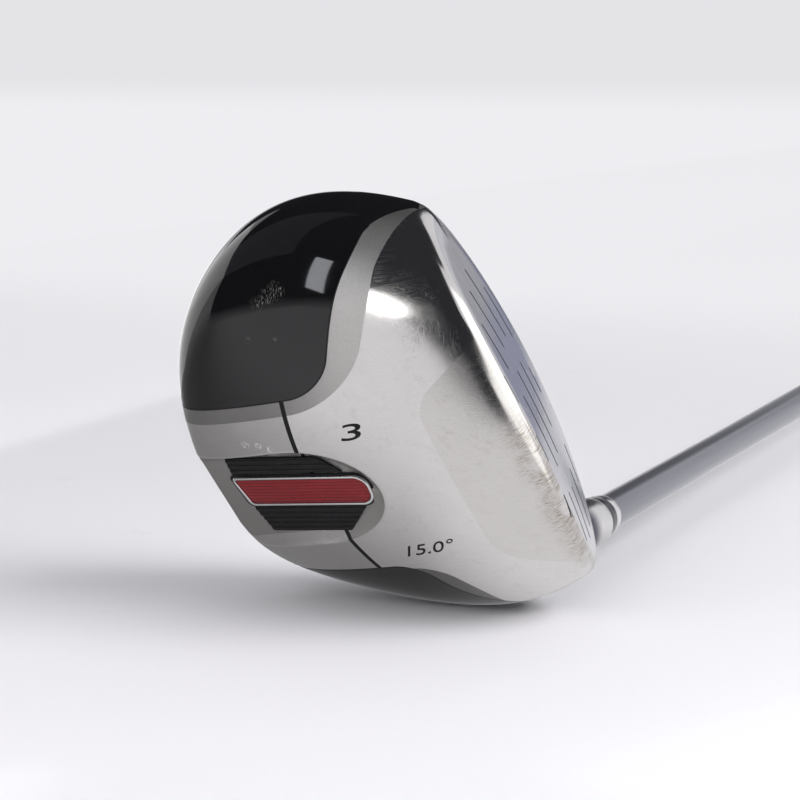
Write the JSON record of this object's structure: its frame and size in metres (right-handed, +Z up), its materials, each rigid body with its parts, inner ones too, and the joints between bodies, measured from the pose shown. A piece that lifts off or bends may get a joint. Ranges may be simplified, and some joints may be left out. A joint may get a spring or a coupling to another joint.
{
  "type": "hybrid golf club",
  "caption": "Right-handed hybrid golf club with a low hollow steel head, black crown, medallion in the sole, bonded graphite shaft and a rubber grip.",
  "frame": {"origin": "bottom centre of the laid-down club's box, on the table that it lies on", "axes": "+Y along the shaft from the head to the butt of the grip, +Z up with the toe up, +X to the side that the face looks"},
  "size_m": [0.0866, 1.1268, 0.0974],
  "materials": {
    "face_steel": "brushed heel to toe",
    "polished_steel": "polished, with fine scratches",
    "satin_steel": "satin blasted",
    "black_fill": "gloss",
    "gloss_black": "gloss clear coat",
    "insert_black": "satin",
    "bright_trim": "polished",
    "red_enamel": "gloss with fine lines",
    "weight_steel": "as cast",
    "hot_melt": "matte",
    "ferrule_black": "gloss",
    "grey_graphite": "satin paint",
    "epoxy": "clear",
    "cork": "matte",
    "brass": "as turned",
    "tape": "matte",
    "grip_rubber": "matte with ring grooves"
  },
  "bodies": {
    "root": {"face_cup": "face_steel", "front_body": "polished_steel", "rear_sole": "satin_steel", "seam_fill": "black_fill", "crown_shell": "gloss_black", "upper_insert": "insert_black", "lower_insert": "insert_black", "badge_backing": "insert_black", "badge_rim_ring": "bright_trim", "badge_enamel": "red_enamel", "rear_weight": "weight_steel", "damping_pad": "hot_melt", "hosel": "polished_steel", "ferrule": "ferrule_black", "trim_ring": "bright_trim", "shaft": "grey_graphite", "tip_bond": "epoxy", "tip_plug": "cork", "swing_weight": "brass", "grip_tape": "tape", "grip": "grip_rubber", "grip_cap": "grip_rubber"}
  },
  "joints": []
}
